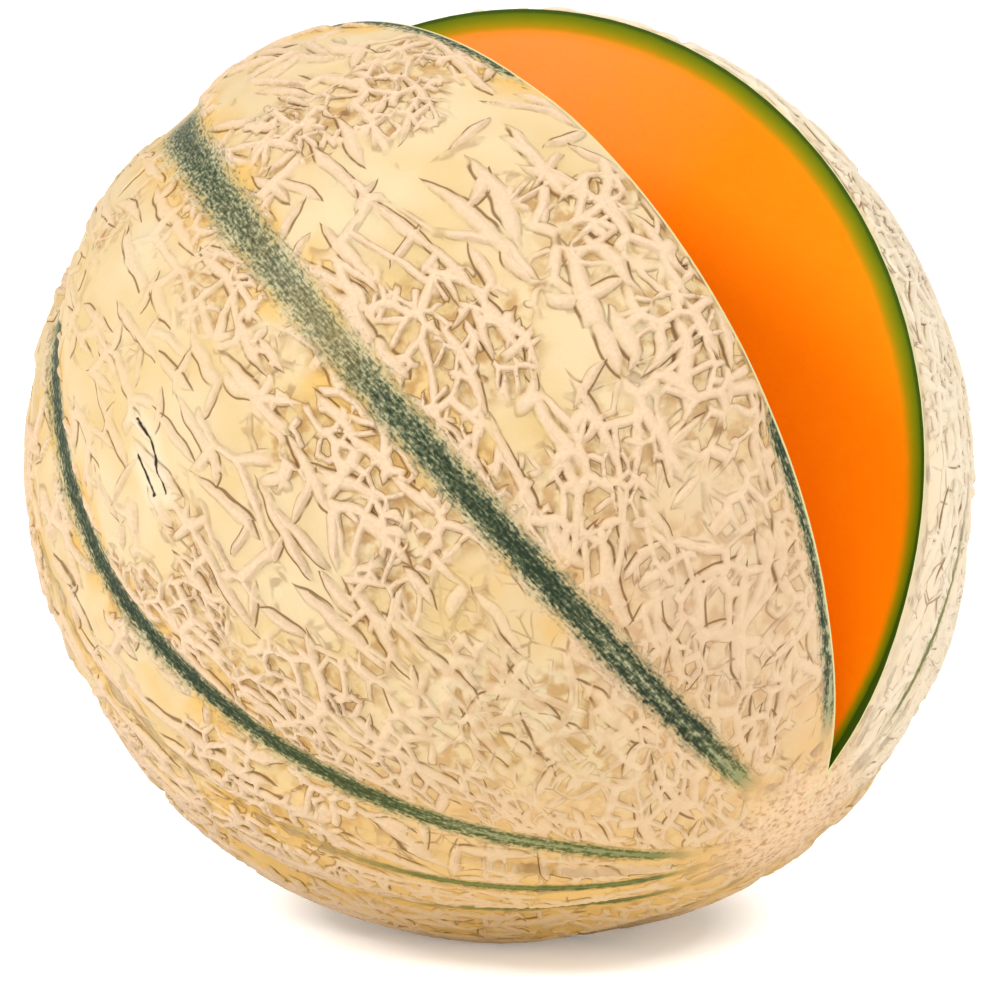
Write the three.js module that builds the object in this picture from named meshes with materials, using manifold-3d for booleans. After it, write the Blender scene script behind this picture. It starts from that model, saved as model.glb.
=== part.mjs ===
// A netted cantaloupe melon with one lobe cut out of it, lying on a small flat spot.
// Millimetres, +Z up, the origin at the middle of the flat spot.
//
// The melon is made in its own frame first: Z runs from the stem end to the blossom end, and
// longitudes are counted about it from +X. Then it is tipped over into the pose in which it lies.

import * as THREE from "three";
import { ConvexHull } from "three/addons/math/ConvexHull.js";
import { ConvexGeometry } from "three/addons/geometries/ConvexGeometry.js";
import { mergeVertices } from "three/addons/utils/BufferGeometryUtils.js";
import Module from "manifold-3d";

// Driving dimensions, in millimetres and degrees.
const equatorRadius = 69.8; // to the tops of the lobes, without the net
const poleRadius = 73.4; // half the length from the stem end to the blossom end

// Longitude and depth of each suture. They are uneven, as they grew, and shallow along the cut.
const sutures = [
  [5, 2],
  [52, 2],
  [83, 2],
  [119, 2],
  [153, 2],
  [187, 2],
  [221, 2],
  [254, 2],
  [288, 0.7],
  [324, 0.7],
];
const sutureHalfWidth = 7.5;
const sutureEndLatitude = 70; // the grooves run out here, short of both ends

const netHeight = 1.1;
const netHalfWidth = 1.4; // the foot of a ridge, to each side of its crest
const cellLength = 11; // a mesh of the net, along the melon
const cellWidth = 8; // and round it
const netJitter = 0.32; // of a cell
const shortestRidge = 1; // shorter ones are drawn together into one crossing

const stemHollowRadius = 15;
const stemHollowDepth = 4.5;
const stemScarRadius = 6.5;
const blossomPatchRadius = 9;
const blossomPatchHeight = 0.5;

const wedgeMiddle = -54.7; // longitude of the lobe that was cut out
const wedgeAngle = 40.6;
const knifeStopAtStem = 0.6; // the two cuts meet this far from the axis at the stem end,
const knifeStopAtBlossom = 11.6; // and this far from it at the blossom end
const seedHollowRadius = 30;
const seedHollowHalfLength = 47;
const seedHollowLobes = 3; // one for each seed bed
const seedHollowLobeDepth = 1.8;

const heading = -41; // where the blossom end points: right and towards the viewer
const tip = 129.2; // from straight up, so the blossom end is the lower one
const roll = -124.8; // about the melon's own axis
const settledDepth = 1.3; // how far its weight has pressed the underside in,
const settledReach = 60; // within this distance of the flat spot's middle
const flatSpotDepth = 3.2; // from the lowest point it would have, had it not settled
const flatSpotReach = 28; // the grooves fill up within this distance

const radians = THREE.MathUtils.degToRad;

const { smoothstep } = THREE.MathUtils;

function poseTurn() {
  const zAxis = new THREE.Vector3(0, 0, 1);
  const yAxis = new THREE.Vector3(0, 1, 0);
  const about = (axis, angle) => new THREE.Quaternion().setFromAxisAngle(axis, radians(angle));
  return about(zAxis, heading).multiply(about(yAxis, tip)).multiply(about(zAxis, roll));
}

// Straight down, in the melon's own frame.
const down = new THREE.Vector3(0, 0, -1).applyQuaternion(poseTurn().invert());

// Random numbers from 0 to 1, the same ones on each run.
function seededRandom(seed) {
  let state = seed;
  return () => {
    state = (state * 1664525 + 1013904223) % 4294967296;
    return state / 4294967296;
  };
}

function direction(latitude, longitude) {
  const yUp = new THREE.Vector3().setFromSphericalCoords(1, Math.PI / 2 - latitude, longitude);
  return yUp.applyMatrix4(yUpToZUp);
}

// setFromSphericalCoords counts from +Y and +Z, the melon's frame from +Z and +X.
const yUpToZUp = new THREE.Matrix4().makeBasis(
  new THREE.Vector3(0, 1, 0),
  new THREE.Vector3(0, 0, 1),
  new THREE.Vector3(1, 0, 0),
);

function latitudeOf(point) {
  return Math.atan2(point.z, Math.hypot(point.x, point.y));
}

// The smallest turn from one longitude to another, in radians.
function turnBetween(from, to) {
  return Math.atan2(Math.sin(to - from), Math.cos(to - from));
}

// The nearest suture's depth, and the distance over the skin from its meridian.
function nearestSuture(point) {
  const longitude = Math.atan2(point.y, point.x);
  const girthRadius = equatorRadius * Math.cos(latitudeOf(point));
  const all = sutures.map(([at, depth]) => {
    return { depth, distance: girthRadius * Math.abs(turnBetween(radians(at), longitude)) };
  });
  return all.reduce((a, b) => (b.distance < a.distance ? b : a));
}

// The skin under the net: an ellipsoid, grooved along the sutures, settled a little where it
// lies, hollowed at the stem end and raised into a corky patch at the blossom end.
function skinRadius(point) {
  const girth = Math.hypot(point.x, point.y);
  const ellipsoid = 1 / Math.hypot(girth / equatorRadius, point.z / poleRadius);
  const latitude = THREE.MathUtils.radToDeg(Math.abs(latitudeOf(point)));
  const fade = 1 - smoothstep(latitude, sutureEndLatitude - 12, sutureEndLatitude + 8);
  const fromSpot = point.angleTo(down) * equatorRadius;
  const open = smoothstep(fromSpot, 0.5 * flatSpotReach, flatSpotReach);
  const suture = nearestSuture(point);
  const profile = Math.exp(-((suture.distance / sutureHalfWidth) ** 2));
  const groove = suture.depth * fade * open * profile;
  const settled = settledDepth * (1 - smoothstep(fromSpot, 0.25 * settledReach, settledReach));
  const fromAxis = girth * equatorRadius;
  let ends = 0;
  if (point.z < 0) {
    ends -= stemHollowDepth * Math.exp(-((fromAxis / stemHollowRadius) ** 2));
  } else {
    const outside = smoothstep(fromAxis, 0.6 * blossomPatchRadius, 1.3 * blossomPatchRadius);
    ends += blossomPatchHeight * (1 - outside);
  }
  return ellipsoid - groove - settled + ends;
}

function onSkin(point, height) {
  return point.clone().normalize().multiplyScalar(skinRadius(point) + height);
}

// Middles of the net's meshes: one chain of them along each suture, which stays open,
// jittered rows of them between the sutures, and one mesh for the scar at each end.
function cellMiddles() {
  const random = seededRandom(11);
  const middles = [];
  const chainSteps = Math.round((2 * radians(sutureEndLatitude) * equatorRadius) / (0.9 * cellLength));
  sutures.forEach(([longitude], suture) => {
    for (let i = 0; i <= chainSteps; i++) {
      const latitude = radians(sutureEndLatitude) * ((2 * i) / chainSteps - 1);
      const isEnd = i === 0 || i === chainSteps;
      const point = direction(latitude, radians(longitude));
      middles.push({ point, suture: isEnd ? null : suture });
    }
  });
  const rowStep = cellLength / equatorRadius;
  const rows = Math.floor(radians(76) / rowStep);
  for (let row = -rows; row <= rows; row++) {
    const count = Math.round((2 * Math.PI * equatorRadius * Math.cos(row * rowStep)) / cellWidth);
    for (let i = 0; i < count; i++) {
      const latitude = (row + netJitter * (2 * random() - 1)) * rowStep;
      const longitude = ((i + row / 2 + netJitter * (2 * random() - 1)) / count) * 2 * Math.PI;
      const point = direction(latitude, longitude);
      if (nearestSuture(point).distance > 0.85 * cellWidth) middles.push({ point, suture: null });
    }
  }
  for (const end of [-1, 1]) {
    middles.push({ point: new THREE.Vector3(0, 0, end), suture: null });
    const ring = 8;
    const ringRadius = end < 0 ? 2 * stemScarRadius : 1.7 * blossomPatchRadius;
    for (let i = 0; i < ring; i++) {
      const latitude = end * (Math.PI / 2 - ringRadius / equatorRadius);
      const longitude = ((i + 0.3 * random()) / ring) * 2 * Math.PI;
      middles.push({ point: direction(latitude, longitude), suture: null });
    }
  }
  return middles;
}

// Where three meshes of the net meet: the normals of the hull's faces, which are the corners of
// the cells nearest to each middle. Corners closer than the shortest ridge become one.
function ridgeCrossings(hull) {
  const random = seededRandom(23);
  const crossings = new Map();
  for (const face of hull.faces) {
    let edge = face.edge;
    let near = null;
    do {
      const other = crossings.get(edge.twin.face);
      if (other && other.point.angleTo(face.normal) * equatorRadius < shortestRidge) near = other;
      edge = edge.next;
    } while (edge !== face.edge);
    const height = netHeight * (0.7 + 0.45 * random());
    crossings.set(face, near || { point: face.normal.clone(), height });
  }
  return crossings;
}

// The cells round each middle, in order: its corners and the cell across each of its sides.
function cellsOfNet(middles) {
  const hull = new ConvexHull().setFromPoints(middles.map((m) => m.point));
  const crossings = ridgeCrossings(hull);
  const cellAt = new Map(middles.map((m) => [m.point, m]));
  const done = new Set();
  const cells = [];
  for (const face of hull.faces) {
    let start = face.edge;
    do {
      const middle = cellAt.get(start.head().point);
      if (!done.has(middle)) {
        done.add(middle);
        cells.push({ middle, sides: sidesRound(start, crossings, cellAt) });
      }
      start = start.next;
    } while (start !== face.edge);
  }
  return cells;
}

// Sides of one cell, anticlockwise seen from outside.
function sidesRound(start, crossings, cellAt) {
  const sides = [];
  let edge = start;
  do {
    const outgoing = edge.next;
    const next = outgoing.twin;
    sides.push({
      from: crossings.get(next.face),
      to: crossings.get(edge.face),
      across: cellAt.get(outgoing.head().point),
    });
    edge = next;
  } while (edge !== start);
  return sides.filter((side) => side.from !== side.to);
}

// The foot of a ridge inside a cell. In a suture it lies straight in from the groove's edge,
// so that the feet of two cells of one suture meet.
function ridgeFoot(crossing, middle) {
  let aim = middle.point;
  if (middle.suture !== null) {
    aim = direction(latitudeOf(crossing.point), radians(sutures[middle.suture][0]));
  }
  const reach = crossing.point.angleTo(aim) * equatorRadius;
  const share = Math.min(0.45, netHalfWidth / reach);
  return onSkin(crossing.point.clone().lerp(aim, share), 0);
}

// The whole outside: in each cell a skin floor, and a slope up to the crest of each ridge.
function nettedSkin() {
  const positions = [];
  const triangle = (...corners) => corners.forEach((c) => positions.push(c.x, c.y, c.z));
  for (const { middle, sides } of cellsOfNet(cellMiddles())) {
    const floor = onSkin(middle.point, 0);
    for (const { from, to, across } of sides) {
      const footFrom = ridgeFoot(from, middle);
      const footTo = ridgeFoot(to, middle);
      triangle(floor, footFrom, footTo);
      const sameSuture = middle.suture !== null && middle.suture === across.suture;
      if (!sameSuture) {
        const crestFrom = onSkin(from.point, from.height);
        const crestTo = onSkin(to.point, to.height);
        triangle(footFrom, crestFrom, crestTo);
        triangle(footFrom, crestTo, footTo);
      }
    }
  }
  const attribute = new THREE.Float32BufferAttribute(positions, 3);
  return new THREE.BufferGeometry().setAttribute("position", attribute);
}

// The slice that was taken: its two sides are the knife's two cuts.
function wedge() {
  const corners = [];
  for (const [end, stop] of [[-1, knifeStopAtStem], [1, knifeStopAtBlossom]]) {
    const inner = direction(0, radians(wedgeMiddle)).multiplyScalar(stop);
    inner.z = end * 1.2 * poleRadius;
    corners.push(inner);
    for (const side of [-0.5, 0.5]) {
      const out = direction(0, radians(wedgeMiddle + side * wedgeAngle));
      corners.push(inner.clone().addScaledVector(out, 2 * equatorRadius));
    }
  }
  return new ConvexGeometry(corners);
}

// The hollow where the seeds lay, open to the slice that was taken.
function seedHollow() {
  const geometry = new THREE.SphereGeometry(1, 30, 18).rotateX(Math.PI / 2);
  const position = geometry.getAttribute("position");
  for (let i = 0; i < position.count; i++) {
    const p = new THREE.Vector3().fromBufferAttribute(position, i);
    const longitude = Math.atan2(p.y, p.x);
    const lobe = seedHollowLobeDepth * Math.cos(seedHollowLobes * (longitude - radians(wedgeMiddle)));
    const radius = seedHollowRadius - lobe;
    position.setXYZ(i, p.x * radius, p.y * radius, p.z * seedHollowHalfLength);
  }
  return geometry;
}

// How high the middle lies, and how far the flat spot is from being straight under it.
function restingPlace() {
  const axis = new THREE.Vector3(0, 0, 1).applyQuaternion(poseTurn());
  const bulge = poleRadius ** 2 - equatorRadius ** 2;
  const reach = Math.sqrt(equatorRadius ** 2 + bulge * axis.z ** 2);
  const lean = (bulge * axis.z) / reach;
  return new THREE.Vector3(lean * axis.x, lean * axis.y, reach - flatSpotDepth);
}

const manifold = await Module();
manifold.setup();

function solidFrom(geometry) {
  const bare = new THREE.BufferGeometry().setAttribute("position", geometry.getAttribute("position"));
  if (geometry.index) bare.setIndex(geometry.index);
  const merged = mergeVertices(bare, 1e-4);
  return new manifold.Manifold(
    new manifold.Mesh({
      numProp: 3,
      vertProperties: merged.getAttribute("position").array,
      triVerts: new Uint32Array(merged.index.array),
    }),
  );
}

function geometryFrom(solid) {
  const mesh = solid.getMesh();
  return new THREE.BufferGeometry()
    .setAttribute("position", new THREE.BufferAttribute(mesh.vertProperties, 3))
    .setIndex(new THREE.BufferAttribute(mesh.triVerts, 1));
}

function melonGeometry() {
  const pose = new THREE.Matrix4().compose(restingPlace(), poseTurn(), new THREE.Vector3(1, 1, 1));
  const posed = (geometry) => solidFrom(geometry.applyMatrix4(pose));
  const ground = new THREE.BoxGeometry(200, 200, 40).translate(0, 0, -20);
  const cutOut = posed(wedge()).add(posed(seedHollow()));
  const melon = posed(nettedSkin()).subtract(cutOut).subtract(solidFrom(ground));
  const geometry = geometryFrom(melon).toNonIndexed();
  geometry.computeVertexNormals();
  return geometry;
}

const part = new THREE.Group();
part.name = "cantaloupe";

const melon = new THREE.Mesh(
  melonGeometry(),
  new THREE.MeshStandardMaterial({ color: "#e8cf9a", roughness: 0.75, metalness: 0 }),
);
melon.name = "melon";
part.add(melon);

export default part;
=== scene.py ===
"""A netted cantaloupe melon with one lobe cut out of it, on a white studio floor."""

import math

import bpy
import numpy as np
from mathutils import Matrix, Vector


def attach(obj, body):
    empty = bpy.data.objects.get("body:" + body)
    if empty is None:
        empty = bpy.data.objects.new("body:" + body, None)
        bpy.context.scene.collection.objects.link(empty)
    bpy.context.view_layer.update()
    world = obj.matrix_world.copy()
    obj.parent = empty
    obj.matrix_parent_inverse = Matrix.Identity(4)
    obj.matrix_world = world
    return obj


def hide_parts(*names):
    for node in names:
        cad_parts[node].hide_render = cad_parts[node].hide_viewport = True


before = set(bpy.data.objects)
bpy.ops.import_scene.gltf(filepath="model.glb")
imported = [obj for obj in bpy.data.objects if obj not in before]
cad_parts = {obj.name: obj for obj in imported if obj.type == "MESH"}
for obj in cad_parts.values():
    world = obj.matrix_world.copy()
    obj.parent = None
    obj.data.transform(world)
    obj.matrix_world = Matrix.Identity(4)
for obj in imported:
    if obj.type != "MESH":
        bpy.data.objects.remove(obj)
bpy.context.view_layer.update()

MM = 0.001
FAR_OFF = 1000.0  # stands in where there is no distance to measure

# The melon's own frame, in millimetres: Z from the stem end to the blossom end, longitudes about
# it from +X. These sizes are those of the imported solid.
EQUATOR_RADIUS = 69.8
POLE_RADIUS = 73.4
HEADING, TIP, ROLL = -41.0, 129.2, -124.8
WEDGE_MIDDLE, WEDGE_ANGLE = -54.7, 40.6
KNIFE_STOP_STEM, KNIFE_STOP_BLOSSOM = 0.6, 11.6
HOLLOW_RADIUS, HOLLOW_HALF_LENGTH = 30.0, 47.0
HOLLOW_LOBES, HOLLOW_LOBE_DEPTH = 3, 1.8
SETTLED_DEPTH, SETTLED_REACH = 1.3, 60.0
FLAT_SPOT_DEPTH, FLAT_SPOT_REACH = 3.2, 28.0
STEM_HOLLOW_RADIUS, STEM_HOLLOW_DEPTH = 15.0, 4.5
STEM_SCAR_RADIUS = 6.5
BLOSSOM_PATCH_RADIUS, BLOSSOM_PATCH_HEIGHT = 9.0, 0.5
SUTURE_END_LATITUDE = 70.0
GROOVE_FADE_BEFORE, GROOVE_FADE_PAST = 12.0, 8.0  # degrees, round the end of a suture
GROOVE_DEPTH, GROOVE_HALF_WIDTH = 2.0, 7.5

# Sutures, from west to east: longitude, share of the groove's depth, then half width of the
# green stripe and how green it is, each at the stem end, the middle and the blossom end. There
# is no stripe where the green is below 0.
# Those at -93 and 66 degrees are only faint lines within a lobe.
SUTURES = [
    (-173, 1.0, (2.6, 2.2, 1.6), (0.7, 0.8, 0.8)),
    (-139, 1.0, (3.0, 2.4, 1.6), (0.7, 0.9, 0.8)),
    (-106, 1.0, (2.2, 1.8, 1.0), (0.6, 0.7, 0.4)),
    (-93, 0.15, (0.6, 0.7, 0.8), (-0.5, -1.0, 0.8)),
    (-72, 0.35, (1.8, 1.2, 0.9), (0.5, 0.2, 0.1)),
    (-36, 0.35, (3.4, 1.9, 2.7), (0.8, 0.6, 1.1)),
    (5, 1.0, (4.2, 3.1, 2.2), (0.6, 0.36, 1.35)),
    (52, 1.0, (4.0, 2.5, 1.3), (0.6, 0.85, 0.8)),
    (66, 0.15, (0.5, 0.6, 0.9), (-0.5, -0.6, 1.0)),
    (83, 1.0, (0.8, 0.8, 0.9), (0.2, -0.5, 0.7)),
    (119, 1.0, (1.4, 1.3, 1.0), (0.5, 0.6, 0.7)),
    (153, 1.0, (2.0, 1.7, 1.2), (0.6, 0.7, 0.7)),
]

# Where a suture leans west, or east if below 0: near which longitude, by how many degrees, and
# between which latitudes it starts and ends to lean.
SWAYS = [
    (48.0, 4.5, 0.0, -40.0),
    (-36.0, 5.5, -20.0, -8.0),
    (-36.0, -5.5, 28.0, 40.0),
    (-36.0, 7.0, 30.0, 85.0),
]
SWAY_REACH = 14.0  # degrees round the melon
STRIPE_FADE_FROM, STRIPE_FADE_TO = -6.0, 10.0  # degrees past the end of a suture
STRIPE_SHORTER = 10.0  # degrees, at the stem end
PALE_LONGITUDE = -100.0  # the rind is paler round this longitude
PALE_FULL, PALE_NONE = 22.0, 48.0  # degrees to either side
GROUND_SHARE = 0.9  # of the deeper yellow near the ground
GROUND_FULL, GROUND_NONE = 30.0, 95.0  # from the flat spot
CRUMBS_FULL, CRUMBS_NONE = 7.0, 16.0  # from the blossom end
# Where the net is low: longitude and latitude of the middle, and half sizes, in degrees, and by
# what share it is lower.
SMOOTH_SPOTS = [((28.0, -40.0), (26.0, 55.0), 0.45), ((24.0, 44.0), (19.0, 24.0), 0.25)]
SMOOTH_CORE = 0.4  # the share of a smooth spot where the net is at its lowest
FINE_FROM, FINE_TO = 22.0, 66.0  # north of the equator, where the net sinks and turns into cracks
FINE_LOWER = 0.4  # by what share it sinks
BLUSH, BLUSH_LOSS = 0.5, 2.0  # of the fine net's skin, and its loss per share of smoothness

# Two slits in the lobe east of this suture, as lines between places: millimetres east of the
# suture and north of the equator.
SLIT_SUTURE = 5
SLITS = [
    ((30.6, -16.2), (30.8, -12.1)),
    ((30.8, -12.1), (34.4, -4.3)),
    ((34.4, -12.3), (36.2, -5.7)),
]

LOBE_STRETCH = 150.0  # each lobe has a stretch of places of its own, so no two have the same net
NET_HEIGHT = 0.8
NET_CLEARANCE = 0.75  # the share of a green stripe that has no net
NET_EDGE = 1.6  # the net grows to its full height within this distance
NET_RIM_NONE, NET_RIM_FULL = 0.2, 1.8  # from the knife's cuts
FIBRE_RIM_FULL = 4.0
FIBRE_HEIGHT = 0.9
SKIN_CELLS = 240  # along each edge of the cube that is blown up into the melon
HOLLOW_CELLS = 70
TRIANGLES = 190000
SHARP_ANGLE = 50.0

# What the rind's nodes read on each point, besides its place.
FIELDS = [
    "net_share",
    "relief",
    "suture",
    "across",
    "stripe",
    "green",
    "from_stem",
    "blossom_patch",
    "pale",
    "blush",
    "ground",
    "rim",
]

# Size of the lumps in the rind's noises, in millimetres, and their detail.
LUMPS = {
    "grain": (0.55, 3.0),
    "crumb": (0.9, 2.0),
    "bark": (1.4, 4.0),
    "tear": (1.5, 2.0),
    "pit": (2.2, 2.0),
    "ragged": (2.5, 2.0),
    "foot": (3.5, 2.0),
    "crack": (5.0, 2.0),
    "gold": (9.0, 2.0),
    "ripeness": (16.0, 2.0),
}
STREAK_WIDTH, STREAK_LENGTH = 0.4, 1.5  # of the mottles in a green stripe

# Soft boxes: place and size in metres, and watts.
LIGHTS = {
    "left": ((-0.95, -0.5, 0.9), 0.35, 14),
    "right": ((0.9, -0.3, 1.0), 0.35, 11),
    "front": ((-0.1, -1.4, 0.5), 0.8, 5),
}
FLOOR_REACH = 3.0
CAMERA_ELEVATION, CAMERA_DISTANCE, CAMERA_LENS = 8.0, 0.905, 216.6
AIM_RIGHT, AIM_DOWN = 0.00006, 0.0042

# Kinds of node that are used often
MATH = "ShaderNodeMath"
VECTOR = "ShaderNodeVectorMath"
RANGE = "ShaderNodeMapRange"
NOISE = "ShaderNodeTexNoise"


def linear(hex_colour):
    """Linear RGBA of an sRGB hex colour."""
    parts = [int(hex_colour[i : i + 2], 16) / 255 for i in (1, 3, 5)]
    return [c / 12.92 if c <= 0.04045 else ((c + 0.055) / 1.055) ** 2.4 for c in parts] + [1.0]


def add(tree, kind, inputs=None, stops=(), **settings):
    """Adds a node with these settings, and with (position, hex colour) stops if it is a colour ramp.

    Each input gets a value, a socket or a node's first output."""
    node = tree.nodes.new(kind)
    for name, value in settings.items():
        setattr(node, name, value)
    for key, value in (inputs or {}).items():
        if isinstance(value, bpy.types.Node):
            value = value.outputs[0]
        if isinstance(value, bpy.types.NodeSocket):
            tree.links.new(value, node.inputs[key])
        else:
            node.inputs[key].default_value = value
    for number, (position, hex_colour) in enumerate(stops):
        elements = node.color_ramp.elements
        element = elements[number] if number < len(elements) else elements.new(position)
        element.position = position
        element.color = linear(hex_colour)
    return node


def smoothstep(x, low, high):
    """0 below low, 1 above high and a smooth rise between."""
    x = np.clip((x - low) / (high - low), 0, 1)
    return x * x * (3 - 2 * x)


# Where the melon lies

turn = (
    Matrix.Rotation(math.radians(HEADING), 3, "Z")
    @ Matrix.Rotation(math.radians(TIP), 3, "Y")
    @ Matrix.Rotation(math.radians(ROLL), 3, "Z")
)
turn_array = np.array(turn)


def melon_middle():
    """The melon's middle in the row frame, in millimetres, with its flat spot at the origin."""
    axis = turn @ Vector((0, 0, 1))
    bulge = POLE_RADIUS**2 - EQUATOR_RADIUS**2
    reach = math.sqrt(EQUATOR_RADIUS**2 + bulge * axis.z**2)
    lean = bulge * axis.z / reach
    return Vector((lean * axis.x, lean * axis.y, reach - FLAT_SPOT_DEPTH))


middle = melon_middle()


def points_of(mesh):
    """The mesh's points in the melon's frame, in millimetres."""
    points = np.empty(len(mesh.vertices) * 3)
    mesh.vertices.foreach_get("co", points)
    return (points.reshape(-1, 3) / MM - np.array(middle)) @ turn_array


def move_points(mesh, points):
    """Puts the mesh's points at these places in the melon's frame."""
    placed = (points @ turn_array.T + np.array(middle)) * MM
    mesh.vertices.foreach_set("co", placed.ravel())
    mesh.update()


# What grows where


def along_suture(values, share):
    """A value at the stem end, the middle and the blossom end, read at a share from -1 to 1."""
    stem, half, blossom = np.array(values).T
    return half + np.where(share < 0, half - stem, blossom - half) * share


def skin_fields(points):
    """Named numbers for points in the melon's frame, in millimetres unless they are shares.

    place holds the distance east of the lobe's western suture and north of the equator."""
    unit = points / np.linalg.norm(points, axis=1, keepdims=True)
    girth = np.hypot(unit[:, 0], unit[:, 1])
    latitude = np.degrees(np.arctan2(unit[:, 2], girth))
    starts = np.array([s[0] for s in SUTURES])
    longitude = (np.degrees(np.arctan2(unit[:, 1], unit[:, 0])) - starts[0]) % 360 + starts[0]
    for centre, lean, low, high in SWAYS:
        reach = np.exp(-(((longitude - centre) / SWAY_REACH) ** 2))
        longitude = longitude + lean * smoothstep(latitude, low, high) * reach
    lobe = np.searchsorted(starts, longitude, side="right") - 1
    ends = np.append(starts[1:], starts[0] + 360)
    per_degree = np.radians(1) * EQUATOR_RADIUS * girth
    from_west = (longitude - starts[lobe]) * per_degree
    from_east = (ends[lobe] - longitude) * per_degree
    suture = np.minimum(from_west, from_east)
    nearest = np.where(from_west < from_east, lobe, (lobe + 1) % len(SUTURES))
    share = np.clip(latitude / SUTURE_END_LATITUDE, -1, 1)
    stripe = np.zeros(len(unit))
    green = np.zeros(len(unit))
    depth = np.zeros(len(unit))
    for number, (_, deep, widths, greens) in enumerate(SUTURES):
        here = nearest == number
        stripe[here] = along_suture(widths, share[here])
        green[here] = along_suture(greens, share[here])
        depth[here] = deep * GROOVE_DEPTH
    before_end = SUTURE_END_LATITUDE - np.abs(latitude)
    fade = smoothstep(before_end, -GROOVE_FADE_PAST, GROOVE_FADE_BEFORE)
    down = turn_array.T @ np.array([0.0, 0.0, -1.0])
    from_spot = np.arccos(np.clip(unit @ down, -1, 1)) * EQUATOR_RADIUS
    opened = smoothstep(from_spot, 0.5 * FLAT_SPOT_REACH, FLAT_SPOT_REACH)
    groove = depth * fade * opened * np.exp(-((suture / GROOVE_HALF_WIDTH) ** 2))
    settled = SETTLED_DEPTH * (1 - smoothstep(from_spot, 0.25 * SETTLED_REACH, SETTLED_REACH))
    from_axis = girth * EQUATOR_RADIUS
    at_stem = unit[:, 2] < 0
    stem = np.where(at_stem, np.exp(-((from_axis / STEM_HOLLOW_RADIUS) ** 2)), 0)
    patch = 1 - smoothstep(from_axis, 0.6 * BLOSSOM_PATCH_RADIUS, 1.3 * BLOSSOM_PATCH_RADIUS)
    patch = np.where(at_stem, 0, patch)
    crumbs = 1 - smoothstep(from_axis, CRUMBS_FULL, CRUMBS_NONE)
    ellipsoid = 1 / np.hypot(girth / EQUATOR_RADIUS, unit[:, 2] / POLE_RADIUS)
    past_end = np.where(at_stem, STRIPE_SHORTER - latitude, latitude) - SUTURE_END_LATITUDE
    stripe_end = 1 - smoothstep(past_end, STRIPE_FADE_FROM, STRIPE_FADE_TO)
    inner = NET_CLEARANCE * stripe
    clear = smoothstep(suture, inner, inner + NET_EDGE)
    bare_ends = smoothstep(from_axis, 0.4 * BLOSSOM_PATCH_RADIUS, BLOSSOM_PATCH_RADIUS)
    north = np.radians(latitude) * EQUATOR_RADIUS
    smooth = np.zeros(len(unit))
    for (east, up), (wide, high), lower in SMOOTH_SPOTS:
        off = np.hypot((longitude - east) / wide, (latitude - up) / high)
        smooth = np.maximum(smooth, lower * (1 - smoothstep(off, SMOOTH_CORE, 1.0)))
    fine = smoothstep(north, FINE_FROM, FINE_TO)
    off_pale = np.abs(longitude - PALE_LONGITUDE)
    return {
        "place": np.stack([from_west + LOBE_STRETCH * (lobe + 1), north, 0 * north], axis=1),
        "suture": suture,
        "across": np.where(from_west < from_east, suture, -suture),
        "stripe": stripe * (0.5 + 0.5 * stripe_end),
        "green": green * stripe_end,
        "from_stem": np.where(at_stem, from_axis, FAR_OFF),
        "blossom_patch": np.where(at_stem, 0, crumbs),
        "pale": 1 - smoothstep(off_pale, PALE_FULL, PALE_NONE),
        "ground": GROUND_SHARE * (1 - smoothstep(from_spot, GROUND_FULL, GROUND_NONE)),
        "net_share": clear * bare_ends,
        "relief": (1 - smooth) * (1 - FINE_LOWER * fine),
        "blush": fine * (BLUSH - BLUSH_LOSS * smooth),
        "skin": ellipsoid - groove - settled - STEM_HOLLOW_DEPTH * stem + BLOSSOM_PATCH_HEIGHT * patch,
    }


# Base shapes


def direction(longitude):
    """The way out from the melon's axis at a longitude in degrees."""
    angle = math.radians(longitude)
    return np.array([math.cos(angle), math.sin(angle), 0.0])


def ball_tree():
    """Geometry nodes that blow a cube up into a ball, with its cells even by angle."""
    tree = bpy.data.node_groups.new("Blown-up cube", "GeometryNodeTree")
    tree.interface.new_socket("Cells", in_out="INPUT", socket_type="NodeSocketInt")
    tree.interface.new_socket("Material", in_out="INPUT", socket_type="NodeSocketMaterial")
    tree.interface.new_socket("Geometry", in_out="OUTPUT", socket_type="NodeSocketGeometry")
    given = add(tree, "NodeGroupInput").outputs
    corners = add(tree, MATH, {0: given["Cells"], 1: 1.0}, operation="ADD")
    counts = {"Vertices " + axis: corners for axis in "XYZ"}
    cube = add(tree, "GeometryNodeMeshCube", {"Size": (2, 2, 2), **counts})
    place = add(tree, "GeometryNodeInputPosition")
    angle = add(tree, VECTOR, {0: place, "Scale": math.pi / 4}, operation="SCALE")
    even = add(tree, VECTOR, {0: angle}, operation="TANGENT")
    round_place = add(tree, VECTOR, {0: even}, operation="NORMALIZE")
    ball = add(tree, "GeometryNodeSetPosition", {"Geometry": cube, "Position": round_place})
    real = add(tree, "GeometryNodeRealizeInstances", {0: ball})
    coated = add(tree, "GeometryNodeSetMaterial", {"Geometry": real, "Material": given["Material"]})
    add(tree, "NodeGroupOutput", {0: coated})
    return tree


def run_nodes(obj, tree, **values):
    """Runs a geometry node tree on an object and keeps the result as a plain mesh."""
    modifier = obj.modifiers.new(tree.name, "NODES")
    modifier.node_group = tree
    for item in tree.interface.items_tree:
        if item.name in values:
            modifier[item.identifier] = values[item.name]
    apply_modifiers(obj)


def apply_modifiers(obj):
    """Turns an object with its modifiers into a plain mesh."""
    bpy.context.view_layer.update()
    evaluated = obj.evaluated_get(bpy.context.evaluated_depsgraph_get())
    mesh = bpy.data.meshes.new_from_object(evaluated)
    obj.modifiers.clear()
    old = obj.data
    obj.data = mesh
    mesh.name = obj.name
    bpy.data.meshes.remove(old)


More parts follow.
